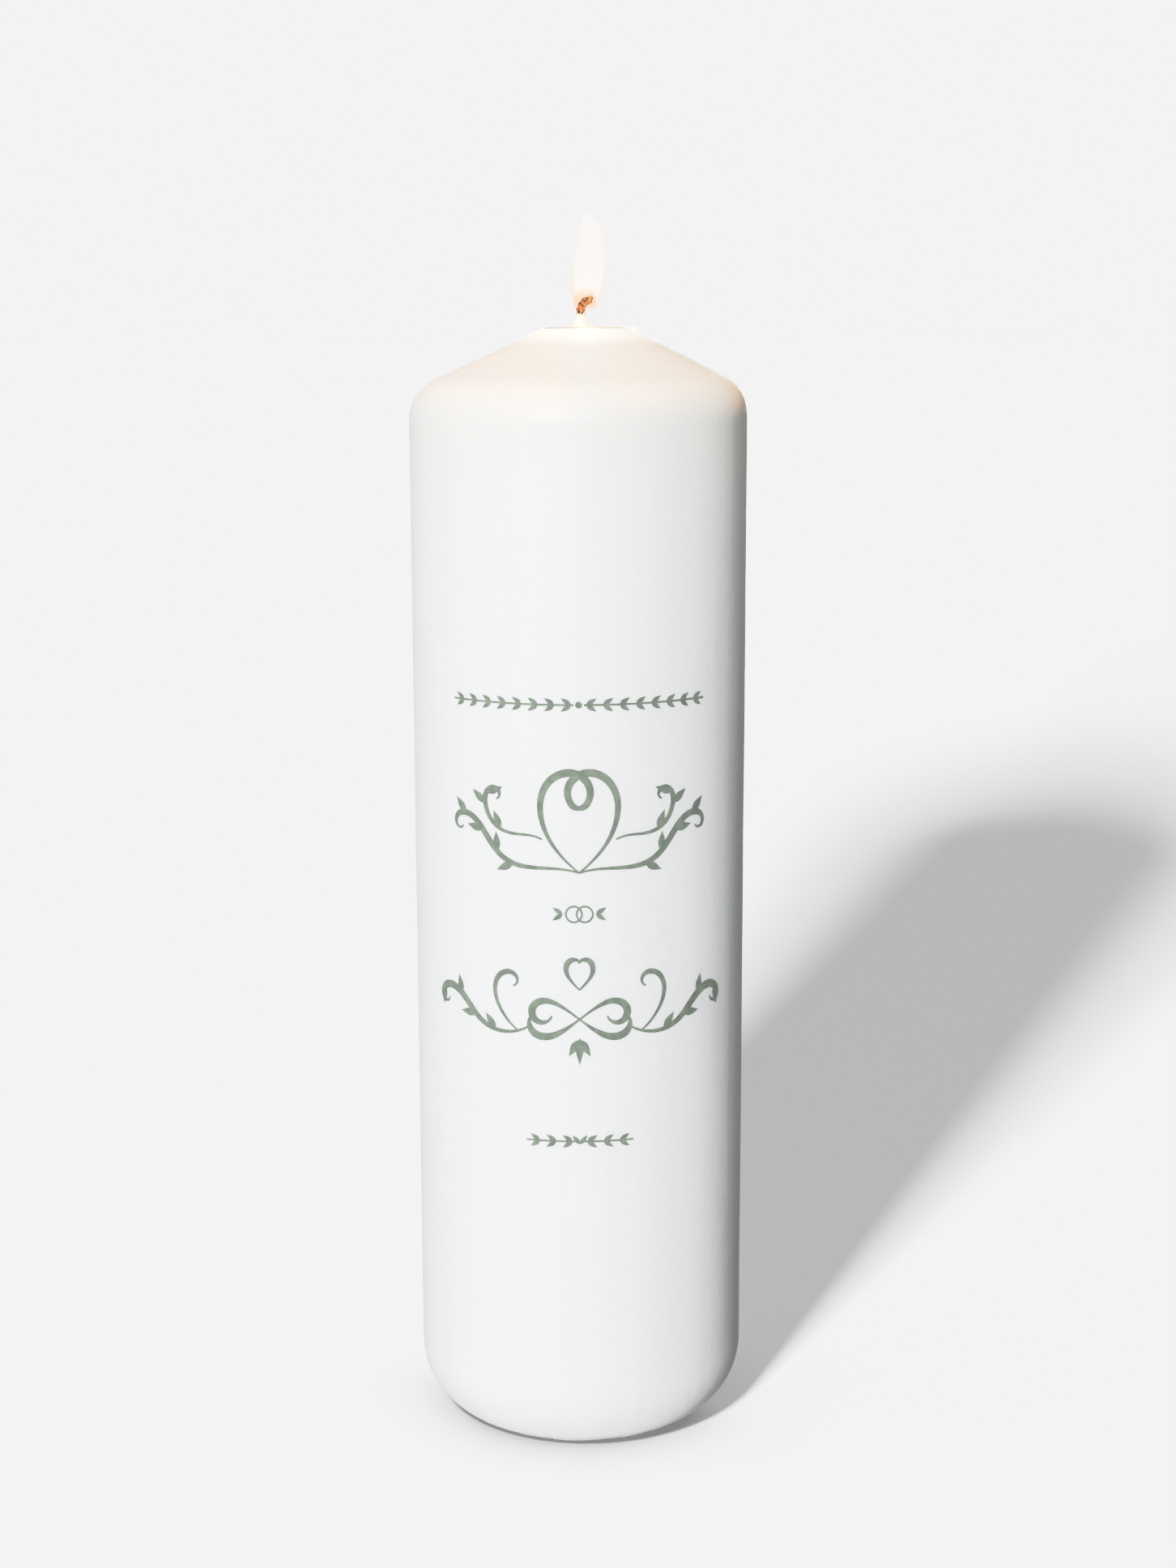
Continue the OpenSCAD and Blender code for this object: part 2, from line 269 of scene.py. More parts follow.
class Finish:
    """A material with one Principled shader, and the few calls that its nodes are made with."""

    def __init__(self, name, **constants):
        self.data = bpy.data.materials.new(name)
        self.data.use_nodes = True
        self.tree = self.data.node_tree
        self.tree.nodes.clear()
        self.shader = self.tree.nodes.new("ShaderNodeBsdfPrincipled")
        self.output = self.tree.nodes.new("ShaderNodeOutputMaterial")
        self.tree.links.new(self.shader.outputs["BSDF"], self.output.inputs["Surface"])
        for socket, value in constants.items():
            self.shader.inputs[socket.replace("_", " ")].default_value = value

    def put(self, socket, value):
        if isinstance(value, Value):
            self.tree.links.new(value.socket, socket)
        elif value is not None:
            socket.default_value = value

    def add(self, kind, settings, inputs, output=0):
        """A node of that kind: its settings first, then its inputs by name or number, then one output."""
        node = self.tree.nodes.new(kind)
        for name, value in settings.items():
            setattr(node, name, value)
        for name, value in inputs.items():
            self.put(node.inputs[name], value)
        return Value(self, node.outputs[output])

    def place(self):
        """The point on the piece, in metres, in the piece's own frame."""
        return self.add("ShaderNodeTexCoord", {}, {}, "Object")

    def parts(self, vector):
        split = self.tree.nodes.new("ShaderNodeSeparateXYZ")
        self.put(split.inputs[0], vector)
        return [Value(self, out) for out in split.outputs]

    def stretched(self, vector, scale):
        return self.add("ShaderNodeVectorMath", {"operation": "MULTIPLY"}, {0: vector, 1: scale})

    def noise(self, vector, scale, detail=4.0, roughness=0.55, output="Fac"):
        return self.add("ShaderNodeTexNoise", {}, {
            "Vector": vector, "Scale": scale, "Detail": detail, "Roughness": roughness}, output)

    def cells(self, vector, scale, feature="F1", output="Distance"):
        return self.add("ShaderNodeTexVoronoi", {"feature": feature}, {
            "Vector": vector, "Scale": scale}, output)

    def mix(self, share, first, second):
        """A colour between two: first where share is 0, second where it is 1."""
        node = self.tree.nodes.new("ShaderNodeMix")
        node.data_type = "RGBA"
        self.put(node.inputs["Factor"], share)
        self.put(node.inputs[6], first)
        self.put(node.inputs[7], second)
        return Value(self, node.outputs[2])

    def bump(self, height, distance, strength=1.0, under=None):
        return self.add("ShaderNodeBump", {}, {
            "Height": height, "Distance": distance, "Strength": strength, "Normal": under}, "Normal")

    def set(self, **values):
        for socket, value in values.items():
            self.put(self.shader.inputs[socket.replace("_", " ")], value)
        return self.data


def tone(red, green, blue):
    """A display colour, 0 to 255, as the linear colour that shaders take."""
    shares = np.array([red, green, blue]) / 255
    linear = np.where(shares <= 0.04045, shares / 12.92, ((shares + 0.055) / 1.055) ** 2.4)
    return (*linear.tolist(), 1.0)


def shown(red, green, blue):
    """The scene light that the studio's tone curve shows as that display colour."""
    light, display = np.array([(0, 0)] + list(TONE) + [(TONE_WHITE, 1)]).T
    return (*np.interp(tone(red, green, blue)[:3], display, light).tolist(), 1.0)


# ================= finishes =================

def dip_wax():
    """Hard white dip wax: slightly translucent, satin, with faint upright runs and a fine grain. The flame's light
    scatters in it, and more of its light is painted: a painted peach glow on the cone up to the rim, less warm
    along a painted reflection streak down its front; painted cream light and a faint painted glow that make the top
    of the side lighter; a painted glow band under the rim; and the rim's thin edge painted golden, with painted
    shade at its left end."""
    wax = Finish("hard white dip wax", Subsurface_Weight=0.3, Subsurface_Radius=(0.010, 0.006, 0.004),
                 Subsurface_Scale=0.3, IOR=1.44, Coat_Roughness=0.25, Emission_Strength=1.0)
    place = wax.place()
    x, y, z = wax.parts(place)
    # depth: height share of a faint painted glow that makes the upper side lighter towards the top
    depth = z.rise(BODY_H - 110 * MM, BODY_H - 10 * MM)
    # cream: height share of painted warm light from the flame on the top of the side
    cream = z.rise(BODY_H - 42 * MM, BODY_H - 14 * MM)
    # cone: height share of the cone, which gets a painted peach glow of the flame's light
    cone = z.rise(BODY_H - 20 * MM, BODY_H - 11 * MM)
    # rim: height share of a painted glow band just under the rim, which is also glossier
    rim = z.rise(BODY_H - 4.4 * MM, BODY_H - 0.9 * MM)
    # edge: the rim's thin edge, painted as a golden line of glow with painted shade at its left end
    edge = z.rise(BODY_H - 0.42 * MM, BODY_H - 0.22 * MM) * x.rise(10.6 * MM, 9.8 * MM)
    painted_shade_left_end = x.rise(-1 * MM, -6 * MM)
    # painted reflection: a lighter, less warm upright streak down the front of the cone
    painted_reflection_stripe = (x - 2 * MM).size().rise(4.6 * MM, 2.8 * MM) * y.rise(0, -6 * MM)
    runs = wax.noise(wax.stretched(place, (260, 260, 14)), 1.0, 3.0)
    cloud = wax.noise(place, 70, 3.0)
    grain = wax.noise(wax.stretched(place, (2600, 2600, 1500)), 1.0, 2.0)
    plain = wax.mix(cloud, tone(249, 248, 248), tone(252, 251, 250))
    streaked = wax.mix(runs.rise(0.45, 0.75) * 0.6, plain, tone(243, 243, 243))
    speckled = wax.mix(grain.rise(0.54, 0.72) * 0.35, streaked, tone(222, 223, 224))
    # painted light: the top of the side is tinted cream by the flame's light
    painted_cream_light = wax.mix(cream * 0.85, speckled, tone(250, 244, 234))
    # painted light: the cone's base colour is warmed peach by the flame's light
    peach = wax.mix(cone * (0.75 - painted_reflection_stripe * 0.35), painted_cream_light, tone(254, 238, 220))
    # painted light: a faint warm glow on the upper side, rising towards the top
    faint = wax.mix(depth, BLACK, tone(34, 30, 22))
    # painted glow: the cone sends out warm light of its own
    warm = wax.mix(cone * (1 - painted_reflection_stripe * 0.35), faint, tone(150, 100, 56))
    # painted glow: a near-white band just under the rim
    bright = wax.mix(rim * 0.8, warm, tone(255, 240, 214))
    # painted glow on the rim's edge, darker towards its left end by painted shade
    painted_edge_glow = wax.mix(painted_shade_left_end, tone(150, 126, 84), tone(76, 66, 52))
    glow = wax.mix(edge, bright, painted_edge_glow)
    # the rim's edge is painted golden in the base colour too, greyer at its left end by painted shade
    tinted = wax.mix(edge, peach, wax.mix(painted_shade_left_end, tone(226, 200, 158), tone(178, 168, 150)))
    height = grain * 0.5 + runs * 0.6 + wax.noise(place, 420, 3.0) * 0.5
    return wax.set(Base_Color=tinted, Roughness=0.42 + cloud * 0.12 - rim * 0.2, Coat_Weight=0.03 + rim * 0.3,
                   Emission_Color=glow, Normal=wax.bump(height, 0.11 * MM))


def core_wax():
    """Pressed wax: beads of wax packed together, so the surface is pebbled and a little uneven in tone."""
    wax = Finish("pressed wax", Subsurface_Weight=0.3, Subsurface_Radius=(0.008, 0.005, 0.003),
                 Subsurface_Scale=0.3, IOR=1.44)
    place = wax.place()
    beads = wax.cells(place, 520)
    edges = wax.cells(place, 520, "DISTANCE_TO_EDGE")
    cloud = wax.noise(place, 140)
    colour = wax.mix(cloud, tone(243, 238, 228), tone(232, 224, 208))
    joints = edges.rise(0.14, 0.0)
    return wax.set(Base_Color=wax.mix(joints * 0.5, colour, tone(206, 196, 178)), Roughness=0.55 + cloud * 0.2,
                   Normal=wax.bump(beads * -1 + cloud * 0.5, 0.25 * MM))


def liquid_wax():
    """Melted wax: clear, wet and warm in colour. Where it climbs the wick it is cream. It carries a painted glow of
    the flame's light, golden at its thin edge, and a painted highlight in front of the wick.
    """
    wax = Finish("liquid wax", Subsurface_Weight=0.4, Subsurface_Radius=(0.006, 0.004, 0.002), Subsurface_Scale=0.4,
                 IOR=1.43, Coat_Weight=0.8, Coat_Roughness=0.03, Emission_Strength=1.0)
    place = wax.place()
    x, y, z = wax.parts(place)
    climb = z.rise(BODY_H, BODY_H + 2.4 * MM)
    skirt = z.rise(BODY_H + 0.9 * MM, BODY_H)
    # painted highlight: a near-white spot on the climb in front of the wick
    painted_glint = (x - WICK_X).size().rise(0.55 * MM, 0.2 * MM) * z.rise(BODY_H + 1.3 * MM, BODY_H + 0.7 * MM)
    swirl = wax.noise(place, 260, 3.0)
    colour = wax.mix(swirl, tone(252, 240, 216), tone(248, 230, 198))
    # painted light: the flame's glow on the melted wax, golden at its thin edge
    lit = wax.mix(climb, shown(206, 176, 128), shown(222, 200, 160))
    golden = wax.mix(skirt * 0.5, lit, shown(196, 150, 92))
    return wax.set(Base_Color=wax.mix(climb, colour, tone(250, 238, 214)), Roughness=0.05 + swirl * 0.06,
                   Emission_Color=wax.mix(painted_glint * 0.8, golden, shown(250, 244, 230)),
                   Normal=wax.bump(swirl, 0.08 * MM))


def waxed_cotton():
    """The white end of the wick: cotton strands soaked with wax, with a painted glow where the flame stands on
    them.
    """
    cotton = Finish("waxed cotton", Subsurface_Weight=0.3, Subsurface_Radius=(0.003, 0.002, 0.001),
                    Subsurface_Scale=0.4, Coat_Weight=0.5, Coat_Roughness=0.12, Emission_Strength=1.0)
    place = cotton.place()
    x, y, z = cotton.parts(place)
    fibres = cotton.noise(cotton.stretched(place, (9000, 9000, 1400)), 1.0, 3.0)
    up = z.rise(BODY_H - 1 * MM, NECK_Z)
    glow = cotton.mix(up, BLACK, shown(214, 180, 120))
    return cotton.set(Base_Color=cotton.mix(fibres, tone(252, 244, 226), tone(238, 220, 186)),
                      Roughness=0.3 + fibres * 0.3, Emission_Color=glow, Normal=cotton.bump(fibres, 0.06 * MM))


def charred_cotton():
    """The burning end: orange brown in a painted glow of the flame's light, paler at its foot, spotted with dark
    char, darkest at the tip and darker along its left side low down.
    """
    char = Finish("charred cotton", Emission_Strength=1.0, Specular_IOR_Level=0.2)
    place = char.place()
    x, y, z = char.parts(place)
    spots = char.noise(place, 1250, 2.0, 0.5)
    fibres = char.noise(char.stretched(place, (5200, 5200, 2200)), 1.0, 3.0)
    far = x.rise(WICK_X + 2.1 * MM, WICK_X + 2.9 * MM)
    foot = z.rise(NECK_Z + 0.8 * MM, NECK_Z - 0.1 * MM)
    edge = (x - WICK_X + 0.35 * MM).rise(0, -0.5 * MM) * z.rise(NECK_Z + 1.6 * MM, NECK_Z)
    dark = (spots.rise(0.50, 0.54) * 0.95 + far * 0.85 + edge * 0.9).low(1.0)
    # painted light: the emission is the flame's glow, orange, paler at the foot and dark where charred
    orange = char.mix(fibres.rise(0.35, 0.65), shown(238, 156, 84), shown(206, 112, 48))
    pale = char.mix(foot * 0.75, orange, shown(250, 226, 178))
    burnt = char.mix(dark, pale, shown(72, 28, 12))
    return char.set(Base_Color=char.mix(dark, tone(120, 62, 30), tone(26, 14, 8)), Roughness=0.8 + fibres * 0.15,
                    Emission_Color=burnt, Normal=char.bump(fibres + spots, 0.12 * MM))


def tinned_steel():
    """Stamped tinned sheet: bright, with fine rings from the tool and a soft crystal pattern in the tin."""
    steel = Finish("tinned steel sheet", Metallic=1.0, Coat_Roughness=0.2)
    place = steel.place()
    x, y, z = steel.parts(place)
    from_wick = ((x - WICK_X) ** 2 + y ** 2) ** 0.5
    rings = (from_wick * (TAU / (0.22 * MM))).sine() * 0.5 + 0.5
    crystals = steel.cells(place, 420, output="Color")
    patch, _, _ = steel.parts(crystals)
    scratches = steel.noise(steel.stretched(place, (5200, 300, 300)), 1.0, 3.0)
    colour = steel.mix(patch, tone(214, 215, 216), tone(190, 193, 196))
    return steel.set(Base_Color=steel.mix(scratches.rise(0.6, 0.8) * 0.4, colour, tone(150, 152, 156)),
                     Roughness=0.22 + patch * 0.1 + scratches * 0.15,
                     Normal=steel.bump(rings * 0.4 + scratches, 0.02 * MM))


def print_ink():
    """Sage green print on wax: matt, a little uneven where the film took less ink, and flecked with a paler grey.
    """
    ink = Finish("sage green print", Specular_IOR_Level=0.25, Sheen_Weight=0.1)
    place = ink.place()
    cloud = ink.noise(place, 480, 4.0, 0.6)
    fine = ink.noise(place, 3200, 2.0)
    colour = ink.mix(cloud.rise(0.36, 0.66), tone(96, 108, 96), tone(116, 128, 113))
    return ink.set(Base_Color=ink.mix(fine.rise(0.64, 0.82) * 0.3, colour, tone(170, 178, 166)),
                   Roughness=0.6 + fine * 0.25, Normal=ink.bump(fine + cloud, 0.02 * MM))


def flame_gas(name, light, solid):
    """Glowing gas seen through: its own light mixed with clear. Light and solid are calls that make the colour and
    the share of the gas from the finish and the point."""
    gas = Finish(name)
    gas.tree.nodes.remove(gas.shader)
    place = gas.place()
    glow = gas.tree.nodes.new("ShaderNodeEmission")
    clear = gas.tree.nodes.new("ShaderNodeBsdfTransparent")
    blend = gas.tree.nodes.new("ShaderNodeMixShader")
    gas.put(glow.inputs["Color"], light(gas, place))
    gas.put(blend.inputs[0], solid(gas, place))
    gas.tree.links.new(clear.outputs[0], blend.inputs[1])
    gas.tree.links.new(glow.outputs[0], blend.inputs[2])
    gas.tree.links.new(blend.outputs[0], gas.output.inputs["Surface"])
    return gas.data


def wick_gap(gas, place):
    """1 in the egg round the charred end, seen from the front, and 0 well outside it."""
    x, y, z = gas.parts(place)
    across = (x - GAP_X) / (3.0 * MM)
    up = (z - GAP_Z) / (3.4 * MM)
    return ((across ** 2 + up ** 2) ** 0.5).rise(1.0, 0.72)


def halo_gas():
    """The faint outer skin: peach low down, thicker at the tip, and thin in front of the charred end."""
    def light(gas, place):
        x, y, z = gas.parts(place)
        return gas.mix(z.rise(FLAME_LOW.z, FLAME_LOW.z + 12 * MM), shown(250, 236, 220), shown(249, 243, 236))

    def solid(gas, place):
        x, y, z = gas.parts(place)
        waver = gas.noise(gas.stretched(place, (400, 400, 120)), 1.0, 2.0)
        foot = z.rise(FLAME_LOW.z + 0.4 * MM, FLAME_LOW.z + 4 * MM)
        tip = z.rise(FLAME_HIGH.z, FLAME_HIGH.z - 6 * MM)
        return foot * (tip * 0.42 + 0.06 + waver * 0.08) * (1 - wick_gap(gas, place) * 0.9)
    return flame_gas("flame halo", light, solid)


def body_gas():
    """The white body: bluish at its lower left, and open in front of the charred end."""
    def light(gas, place):
        x, y, z = gas.parts(place)
        high = z.rise(FLAME_LOW.z + 7 * MM, FLAME_LOW.z + 15 * MM)
        white = gas.mix(high, shown(255, 255, 253), shown(251, 250, 249))
        blue = (x - GAP_X + 1.2 * MM).rise(0, -1.4 * MM) * z.rise(FLAME_LOW.z + 3.4 * MM, FLAME_LOW.z + 1.4 * MM)
        return gas.mix(blue * 0.8, white, shown(222, 224, 230))

    def solid(gas, place):
        x, y, z = gas.parts(place)
        foot = z.rise(FLAME_LOW.z + 0.8 * MM, FLAME_LOW.z + 3.2 * MM)
        tip = z.rise(FLAME_HIGH.z, FLAME_HIGH.z - 5 * MM) * 0.5 + 0.3
        return foot * tip * (1 - wick_gap(gas, place)) * 1.1
    return flame_gas("flame body", light, solid)


def heart_gas():
    """The peach heart, which shows only behind the charred end."""
    def light(gas, place):
        x, y, z = gas.parts(place)
        return gas.mix(z.rise(GAP_Z + 0.2 * MM, GAP_Z + 3 * MM), shown(252, 222, 184), shown(255, 246, 226))

    def solid(gas, place):
        x, y, z = gas.parts(place)
        foot = z.rise(GAP_Z - 2.6 * MM, GAP_Z - 0.6 * MM)
        return foot * wick_gap(gas, place).rise(0.0, 0.9) * 0.8
    return flame_gas("flame heart", light, solid)


# ================= pieces =================

def coat_grid():
    """The dip coat as one closed ring of profile points turned about the axis: under the foot, round the lower
    edge, up the side, over the shoulder and the cone, over the melted rim into the dish, and back down against
    the core. The rim's own rounding is (1 - t)^2 a + 2 t (1 - t) b + t^2 c, with b at its sharp corner."""
    foot_r = BODY_R - COAT_ROUND + math.sqrt(COAT_ROUND ** 2 - CORE_ROUND ** 2)
    side_turn = math.pi / 2 - CONE_SLOPE
    rim_round = 0.5 * MM
    shoulder_end = np.array([BODY_R - SHOULDER_R, SHOULDER_Z]) + SHOULDER_R * np.array(
        [math.cos(side_turn), math.sin(side_turn)])
    rim = np.array([TOP_FLAT_R, BODY_H])
    down_cone = np.array([math.cos(CONE_SLOPE), -math.sin(CONE_SLOPE)])
    before_rim = rim + down_cone * rim_round
    after_rim = rim - np.array([rim_round, 0])
    t = np.linspace(0, 1, 8)[:, None]
    rim_curve = (1 - t) ** 2 * before_rim + 2 * t * (1 - t) * rim + t ** 2 * after_rim
    ball_z = BODY_H - POOL_DEPTH + POOL_BALL_R
    edge_turn = math.asin(POOL_R / POOL_BALL_R)
    feather_r = POOL_R - 0.6 * MM
    feather_turn = math.asin(feather_r / POOL_BALL_R)
    feather = np.array([feather_r, ball_z - POOL_BALL_R * math.cos(feather_turn)])
    inner_shoulder = np.array([BODY_R - SHOULDER_R, SHOULDER_Z]) + (SHOULDER_R - COAT_T) * np.array(
        [math.cos(side_turn), math.sin(side_turn)])
    round_x = BODY_R - COAT_ROUND
    profile = outline(
        line((round_x, 0), (foot_r, 0), 8),
        arc((round_x, CORE_ROUND), COAT_ROUND, -math.asin(CORE_ROUND / COAT_ROUND), 0, 44),
        line((BODY_R, CORE_ROUND), (BODY_R, SHOULDER_Z), 90),
        arc((BODY_R - SHOULDER_R, SHOULDER_Z), SHOULDER_R, 0, side_turn, 30),
        line(shoulder_end, before_rim, 34),
        rim_curve,
        line(after_rim, (POOL_R, BODY_H), 4),
        arc((0, ball_z), POOL_BALL_R, -math.pi / 2 + edge_turn, -math.pi / 2 + feather_turn, 4),
        line(feather, inner_shoulder, 4),
        arc((BODY_R - SHOULDER_R, SHOULDER_Z), SHOULDER_R - COAT_T, side_turn, 0, 6),
        line((BODY_R - COAT_T, SHOULDER_Z), (BODY_R - COAT_T, CORE_ROUND), 4),
        arc((round_x, CORE_ROUND), CORE_ROUND, 0, -math.pi / 2, 8)[:-1])
    return revolve(profile, COAT_SIDES)


def hand_made(points):
    """Takes the machine look off the outside. The outside is pressed in by up to 0.08 mm in slow waves, a sum of
    three sines of the heading and the height. The lowest 3 mm are also nicked by three saw-toothed steps of the
    heading, each size times the part after the point of count a / (2 pi) + place."""
    a, z = heading(points), points[..., 2]
    radius = np.hypot(points[..., 0], points[..., 1])
    outside = smooth(BODY_R - 0.6 * COAT_T, BODY_R - 0.1 * COAT_T, radius)
    waves = (np.sin(3 * a + 31 * z / BODY_H) + np.sin(5 * a - 17 * z / BODY_H + 1.3)
             + 0.5 * np.sin(11 * a + 43 * z / BODY_H + 0.4)) / 5
    pressed = (waves - 0.5) * 0.08 * MM * outside
    low = smooth(3.0 * MM, 0.8 * MM, z) * smooth(BODY_R - COAT_ROUND, BODY_R - COAT_ROUND + 5 * MM, radius)
    chips = sum(size * ((count * a / TAU + place) % 1.0) for size, count, place in (
        (0.30, 11, 0.15), (0.18, 17, 0.62), (0.08, 41, 0.4)))
    pressed = pressed - low * chips * MM
    return points + outward(points) * pressed[..., None]


def bead(points, angle, distance, height, size, reach):
    """Swells the skin away from the axis and a little up, by size at its middle, as exp(-(d / reach)^2)."""
    middle = np.array([distance * math.cos(angle), distance * math.sin(angle), height])
    gap = np.linalg.norm(points - middle, axis=-1)
    swell = size * np.exp(-(gap / reach) ** 2)
    away = outward(points) * 0.95 + np.array([0, 0, 0.15])
    return points + away * swell[..., None]


def dip_coat():
    """The coat's grid made uneven, leant to the right, and swollen by two beads of wax that ran over the rim."""
    points = lean(hand_made(coat_grid()))
    points = bead(points, math.radians(-4), 11.8 * MM, BODY_H - 0.4 * MM, 1.6 * MM, 1.2 * MM)
    points = bead(points, math.radians(-6), 14.8 * MM, BODY_H - 2.3 * MM, 0.40 * MM, 0.6 * MM)
    piece = skin("hard_dip_coat", [points], dip_wax(), closed=True)
    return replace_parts(piece, "overdip_coat")


def pressed_core():
    """The core as one closed ring of profile points: up the outside under the coat, over its cone, into the dish
    and down the wick's channel, with the counterbore for the tab's neck and the tab's recess in the base."""
    gap = 0.02 * MM
    recess_r = TAB_HIGH.x - WICK_X + TAB_PLAY
    recess_z = TAB_LOW.z + TAB_SHEET + TAB_PLAY
    neck_r = CHANNEL_R + TAB_SHEET + TAB_PLAY
    neck_z = TAB_HIGH.z + TAB_PLAY
    side_turn = math.pi / 2 - CONE_SLOPE
    shoulder_r = SHOULDER_R - COAT_T - gap
    side_r = BODY_R - COAT_T - gap
    ball_z = BODY_H - POOL_DEPTH + POOL_BALL_R
    feather_r = POOL_R - 0.65 * MM
    feather_turn = math.asin(feather_r / POOL_BALL_R)
    channel_turn = math.asin(2.6 * MM / POOL_BALL_R)
    shoulder_end = np.array([BODY_R - SHOULDER_R, SHOULDER_Z]) + shoulder_r * np.array(
        [math.cos(side_turn), math.sin(side_turn)])
    feather = (feather_r, ball_z - POOL_BALL_R * math.cos(feather_turn))
    stretches = [
        (line((recess_r, recess_z), (recess_r, 0), 5), 1),
        (line((recess_r, 0), (BODY_R - COAT_ROUND, 0), 26), "slide"),
        (arc((BODY_R - COAT_ROUND, CORE_ROUND), CORE_ROUND - gap, -math.pi / 2, 0, 16), 0),
        (line((side_r, CORE_ROUND), (side_r, SHOULDER_Z), 12), 0),
        (arc((BODY_R - SHOULDER_R, SHOULDER_Z), shoulder_r, 0, side_turn, 8), 0),
        (line(shoulder_end, feather, 6), 0),
        (arc((0, ball_z), POOL_BALL_R, -math.pi / 2 + feather_turn, -math.pi / 2 + channel_turn, 10), 0),
        (line((CHANNEL_R, POOL_LOW.z + 0.1 * MM), (CHANNEL_R, neck_z), 8), 1),
        (line((neck_r, neck_z), (neck_r, recess_z), 6), 1)]
    profile, share = [], []
    for points, where in stretches:
        profile.append(points)
        count = len(points)
        share.append(np.linspace(1, 0, count) if where == "slide" else np.full(count, float(where)))
    profile, share = np.concatenate(profile), np.concatenate(share)
    grid = lean(revolve(profile, 192, centre_x=WICK_X * share))
    wick_side = share[:, None] * smooth(SHOULDER_Z, BODY_H, grid[..., 2]) * TOP_LEAN
    grid[..., 0] -= wick_side
    piece = skin("pressed_wax_core", [grid], core_wax(), closed=True)
    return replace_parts(piece, "wax_core")


def melted_pool():
    """The liquid: its level top from the wick outwards with a concave edge up the wick, then the dish's own curve
    back under it to the wick. The axis slides from the wick to the middle of the leaning dish."""
    ball_z = BODY_H - POOL_DEPTH + POOL_BALL_R
    edge_r = math.sqrt(POOL_BALL_R ** 2 - (ball_z - POOL_LEVEL) ** 2) - 0.03 * MM
    wall_z = np.linspace(NECK_Z - 0.5 * MM, POOL_LEVEL, 34)
    wall_r = CHANNEL_R + 1.35 * MM * np.exp(-(wall_z - BODY_H) / (0.8 * MM))
    flat = line((wall_r[-1], POOL_LEVEL), (edge_r - 0.5 * MM, POOL_LEVEL), 10)
    s = np.linspace(0, 1, 7)
    lip = np.stack([edge_r - 0.5 * MM * (1 - s), POOL_LEVEL + 0.12 * MM * s ** 2], axis=1)
    turn = math.asin(edge_r / POOL_BALL_R)
    stop = math.asin(1.9 * MM / POOL_BALL_R)
    under = arc((0, ball_z), POOL_BALL_R - 0.03 * MM, -math.pi / 2 + turn, -math.pi / 2 + stop, 16)
    foot = line((CHANNEL_R, under[-1, 1]), (CHANNEL_R, wall_z[0]), 6)
    profile = np.concatenate([np.stack([wall_r, wall_z], axis=1), flat, lip, under, foot])[::-1]
    away = smooth(CHANNEL_R, edge_r, profile[:, 0])
    middle = WICK_X * (1 - away) + TOP_LEAN * away
    grid = revolve(profile, 160, centre_x=middle)
    a = heading(grid - np.array([WICK_X, 0, 0]))
    flow = 1 + 0.10 * np.sin(2 * a + 0.5) + 0.06 * np.sin(5 * a)
    climbing = smooth(BODY_H + 0.8 * MM, NECK_Z, grid[..., 2])
    grid[..., 2] += climbing * (flow - 1) * 1.2 * MM
    piece = skin("melted_wax_pool", [grid], liquid_wax(), closed=True)
    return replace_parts(piece, "melt_pool")


def wick_line(first, last, count):
    """The wick's middle line. Its length runs with the height up to the neck. Past the neck the line's heading
    turns from upright to the right as CURL_TURN u^1.5, where u is the share of the curl's length, and the line is
    the running sum of its steps."""
    s = np.linspace(first, last, count)
    turn = CURL_TURN * np.clip((s - NECK_Z) / CURL_LENGTH, 0, 1.1) ** 1.5
    step = np.diff(s, prepend=s[0])
    x = WICK_X + np.cumsum(step * np.sin(turn))
    z = first + np.cumsum(step * np.cos(turn))
    return np.stack([x, 0 * s, z], axis=1), s


def braid(first, last, count, full_r, pitch, shrink):
    """Eight strands plaited round the wick's line. Strand k is a tube whose own middle line winds about the
    wick's at angle w s + k pi / 2, half of them the other way round, and its distance from the middle swings as
    cos(4 w s), so that each passes over one strand and under the next. Shrink gives the thickness left at s."""
    middle, s = wick_line(first, last, count)
    left = shrink(s)
    t = np.gradient(middle, axis=0)
    t /= np.linalg.norm(t, axis=1)[:, None]
    side = np.broadcast_to(np.array([0.0, 1.0, 0.0]), t.shape)
    front = np.cross(side, t)
    w = TAU / pitch
    grids = []
    for way in (1, -1):
        for k in range(4):
            angle = way * w * s + k * TAU / 4
            distance = full_r * left * (0.62 + way * 0.13 * np.cos(4 * w * s))
            path = middle + distance[:, None] * (np.cos(angle)[:, None] * front + np.sin(angle)[:, None] * side)
            grids.append(tube(path, (full_r * 0.30 * left)[:, None], 8, (0.0, 1.0, 0.0)))
    return grids


def core_thread(first, last, count, radius, shrink):
    """The straight threads in the middle of the braid, as one tube."""
    middle, s = wick_line(first, last, count)
    return [tube(middle, (radius * shrink(s))[:, None], 12, (0.0, 1.0, 0.0))]


